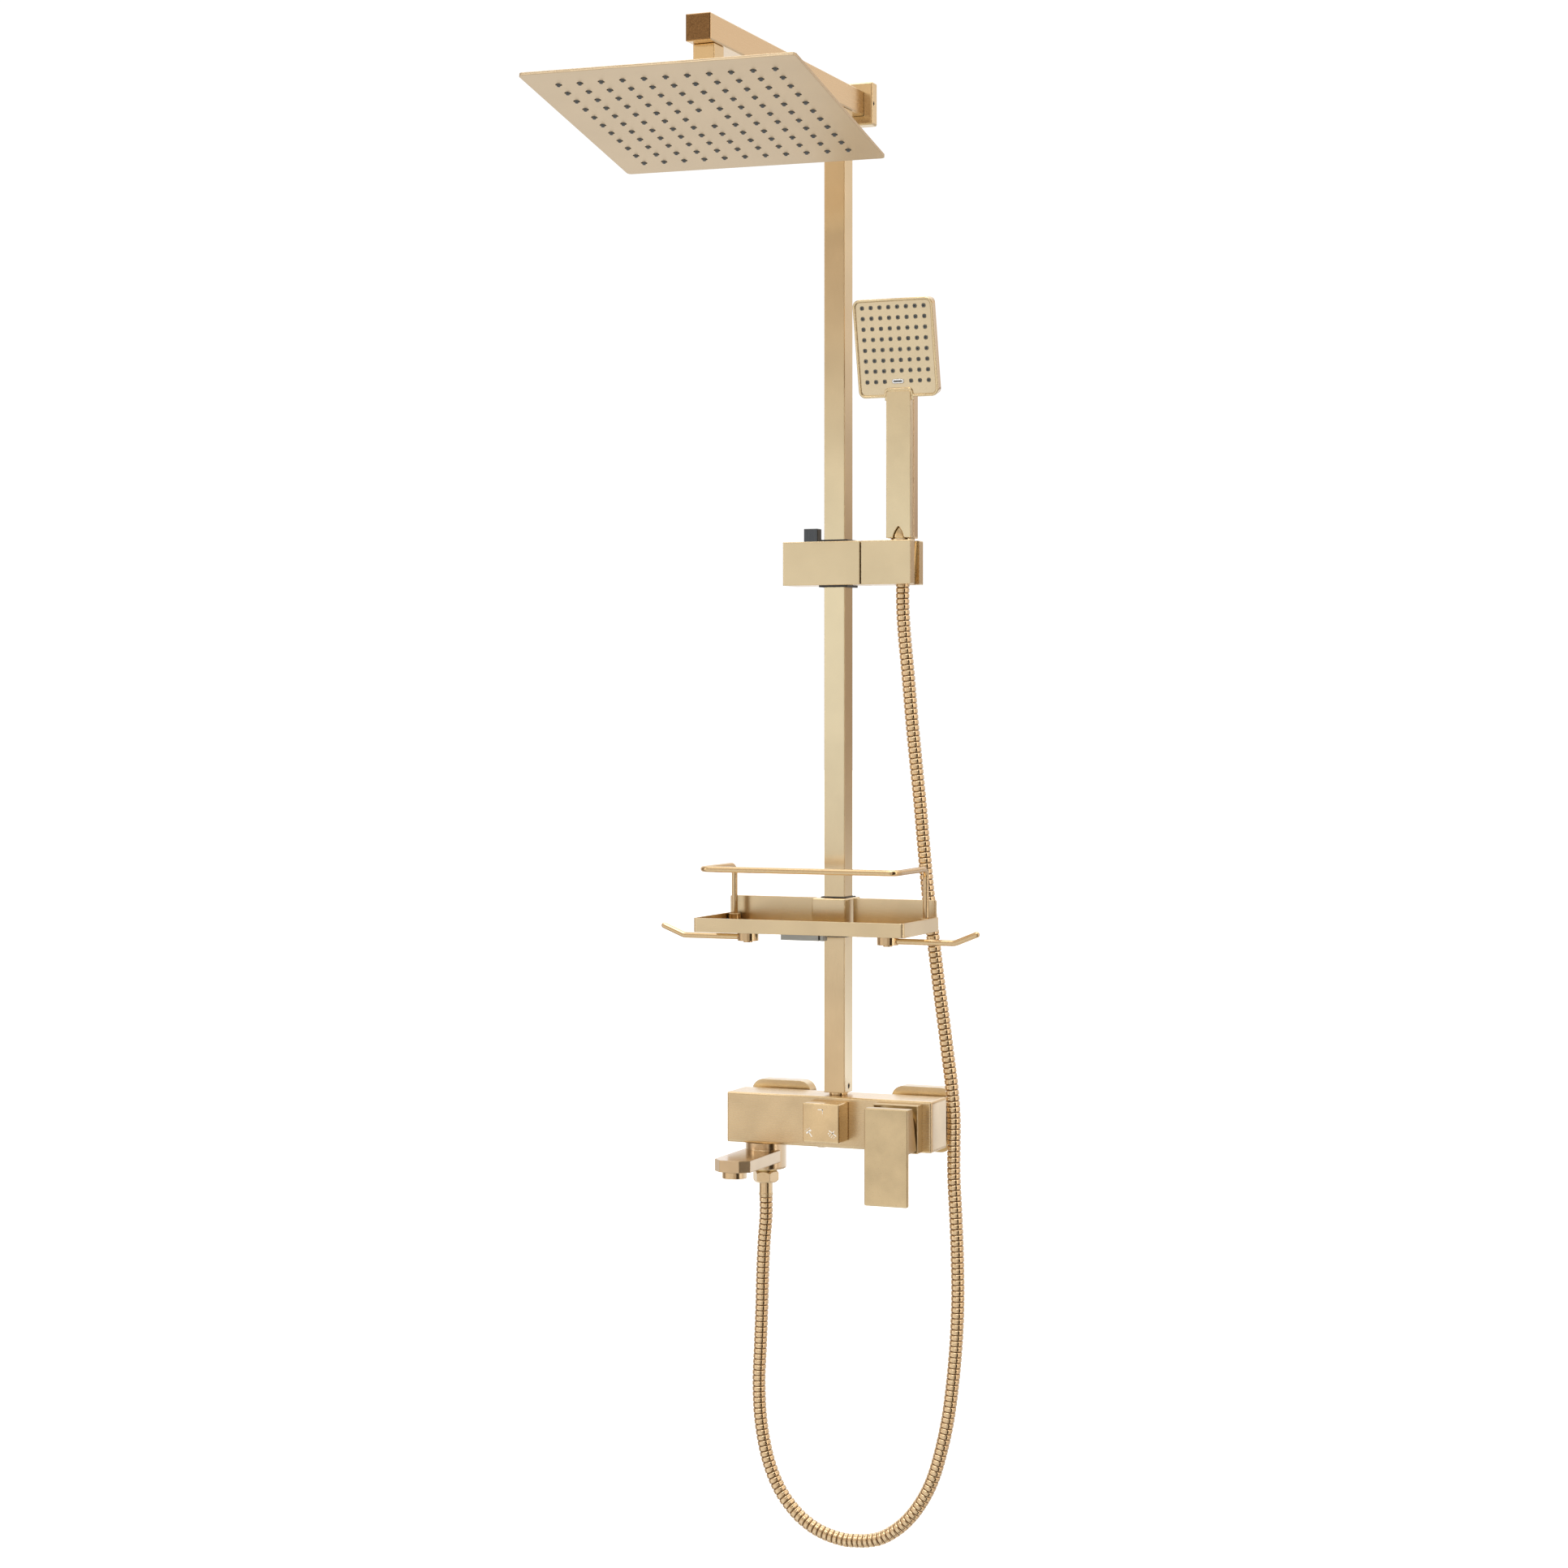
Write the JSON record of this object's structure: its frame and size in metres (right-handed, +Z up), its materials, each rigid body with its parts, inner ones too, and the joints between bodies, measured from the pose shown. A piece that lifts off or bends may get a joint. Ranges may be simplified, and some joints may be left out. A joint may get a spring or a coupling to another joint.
{
  "type": "rainfall shower column",
  "caption": "Square wall-mounted shower column: bath mixer with lever, diverter and swivel spout, riser, overhead rain plate on a ball joint, sliding hand shower, shelf with rail and hooks.",
  "frame": {"origin": "midway between the axes of the two wall inlets, on the plane of the finished wall", "axes": "+X to the right when facing the shower, +Y into the wall, +Z up along the column"},
  "size_m": [0.3318, 0.5167, 1.4503],
  "materials": {
    "gold_brass": "brushed champagne gold",
    "gold_steel": "brushed champagne gold",
    "gold_aluminium": "brushed champagne gold",
    "gold_plated": "metal plated, brushed champagne gold",
    "raw_brass": "plain machined",
    "bright_steel": "plain",
    "dark_metal": "dark grey satin",
    "black_plastic": "matt",
    "pale_plastic": "matt",
    "grey_rubber": "matt",
    "hose_gold": "ribbed, bright champagne gold"
  },
  "bodies": {
    "column": {"mixer_body": "gold_brass", "inlet_unions": "raw_brass", "union_nuts": "gold_brass", "escutcheon_left": "gold_steel", "escutcheon_right": "gold_steel", "cartridge": "pale_plastic", "cartridge_nut": "raw_brass", "cartridge_cover": "gold_brass", "trim_plate": "gold_brass", "diverter_cartridge": "pale_plastic", "body_plug": "gold_brass", "column_nipple": "raw_brass", "column_tube": "gold_steel", "column_screw": "dark_metal", "column_top_insert": "raw_brass", "shower_arm": "gold_steel", "arm_stub": "gold_brass", "wall_flange": "gold_steel", "flange_screw": "dark_metal", "wall_bracket": "raw_brass", "swivel_ball": "raw_brass", "spout_stem": "raw_brass", "hose_hex_nut": "gold_brass", "hose_ferrule": "gold_brass", "hose_loop": "hose_gold"},
    "ball_seat_ring": {"ball_seal": "black_plastic"},
    "ball_slip_ring": {"ball_washer": "pale_plastic"},
    "rain_head": {"socket_nut": "gold_brass", "rain_head_shell": "gold_steel", "rain_head_face": "gold_steel", "rain_nozzles": "grey_rubber"},
    "slider": {"slider_body": "gold_aluminium", "slider_liner": "black_plastic", "holder_pivot": "bright_steel", "hose_riser": "hose_gold"},
    "brake": {"brake_pad": "black_plastic"},
    "button": {"release_button": "dark_metal", "button_spring": "bright_steel"},
    "holder": {"handset_holder": "gold_aluminium"},
    "hand_shower": {"handset_shell": "gold_plated", "handset_front": "gold_plated", "handset_face": "gold_plated", "handset_nozzles": "grey_rubber", "handset_badge": "bright_steel", "handset_stem": "raw_brass", "hose_cone_nut": "gold_brass"},
    "shelf": {"shelf_tray": "gold_aluminium", "shelf_rail": "gold_aluminium", "rail_seats": "gold_aluminium", "shelf_clamp": "gold_aluminium", "clamp_liner": "black_plastic"},
    "shelf_lever": {"clamp_lever": "dark_metal"},
    "left_hook": {"hook_left": "gold_aluminium"},
    "right_hook": {"hook_right": "gold_aluminium"},
    "diverter": {"diverter_knob": "gold_brass"},
    "valve_stem": {"cartridge_stem": "bright_steel"},
    "lever": {"lever_handle": "gold_brass"},
    "swivel_spout": {"spout": "gold_brass", "aerator": "gold_brass"}
  },
  "joints": [
    {"name": "head_swivel", "type": "hinge", "parent": "column", "child": "ball_seat_ring", "pos_m": [0, -0.366, 0.955], "axis": [0, 0, 1], "continuous": true},
    {"name": "head_tilt", "type": "hinge", "parent": "ball_seat_ring", "child": "ball_slip_ring", "pos_m": [0, -0.366, 0.955], "axis": [0.9986, 0.0523, 0], "range_deg": [-5, 25]},
    {"name": "head_roll", "type": "hinge", "parent": "ball_slip_ring", "child": "rain_head", "pos_m": [0, -0.366, 0.955], "axis": [-0.0515, 0.9835, -0.1736], "range_deg": [-10, 10]},
    {"name": "slider_height", "type": "slide", "parent": "column", "child": "slider", "axis": [0, 0, 1], "range_m": [-0.12, 0.1], "deforming": ["hose_riser"]},
    {"name": "button_press", "type": "slide", "parent": "slider", "child": "button", "axis": [0, 0, -1], "range_m": [0, 0.003], "stiffness_N_per_m": 1000, "springref_m": -0.001, "deforming": ["button_spring"]},
    {"name": "brake_release", "type": "slide", "parent": "slider", "child": "brake", "axis": [-1, 0, 0], "range_m": [0, 0.0015]},
    {"name": "holder_tilt", "type": "hinge", "parent": "slider", "child": "holder", "pos_m": [0.035, -0.05, 0.548], "axis": [1, 0, 0], "range_deg": [-10, 25]},
    {"name": "hand_shower_lift", "type": "slide", "parent": "holder", "child": "hand_shower", "axis": [0, 0, 1], "range_m": [0, 0.05]},
    {"name": "shelf_height", "type": "slide", "parent": "column", "child": "shelf", "axis": [0, 0, 1], "range_m": [-0.09, 0.08]},
    {"name": "shelf_release", "type": "hinge", "parent": "shelf", "child": "shelf_lever", "pos_m": [-0.012, -0.083, 0.184], "axis": [0, 0, 1], "range_deg": [0, 90]},
    {"name": "left_hook_swing", "type": "hinge", "parent": "shelf", "child": "left_hook", "pos_m": [-0.073, -0.106, 0.184], "axis": [0, 0, 1], "range_deg": [-20, 90]},
    {"name": "right_hook_swing", "type": "hinge", "parent": "shelf", "child": "right_hook", "pos_m": [0.073, -0.106, 0.184], "axis": [0, 0, 1], "range_deg": [-90, 20]},
    {"name": "diverter_turn", "type": "hinge", "parent": "column", "child": "diverter", "pos_m": [0, -0.085, 0.002], "axis": [0, -1, 0], "range_deg": [-90, 90]},
    {"name": "lever_turn", "type": "hinge", "parent": "column", "child": "valve_stem", "pos_m": [0.0725, -0.07, -0.001], "axis": [0, -1, 0], "range_deg": [-45, 45]},
    {"name": "lever_lift", "type": "hinge", "parent": "valve_stem", "child": "lever", "pos_m": [0.0725, -0.08, -0.001], "axis": [-1, 0, 0], "range_deg": [0, 20]},
    {"name": "spout_swivel", "type": "hinge", "parent": "column", "child": "swivel_spout", "pos_m": [-0.0775, -0.05, -0.04], "axis": [0, 0, 1], "range_deg": [-60, 60]}
  ],
  "couplings": [
    {"joint": "brake_release", "follows": "button_press", "ratio": 0.5}
  ]
}
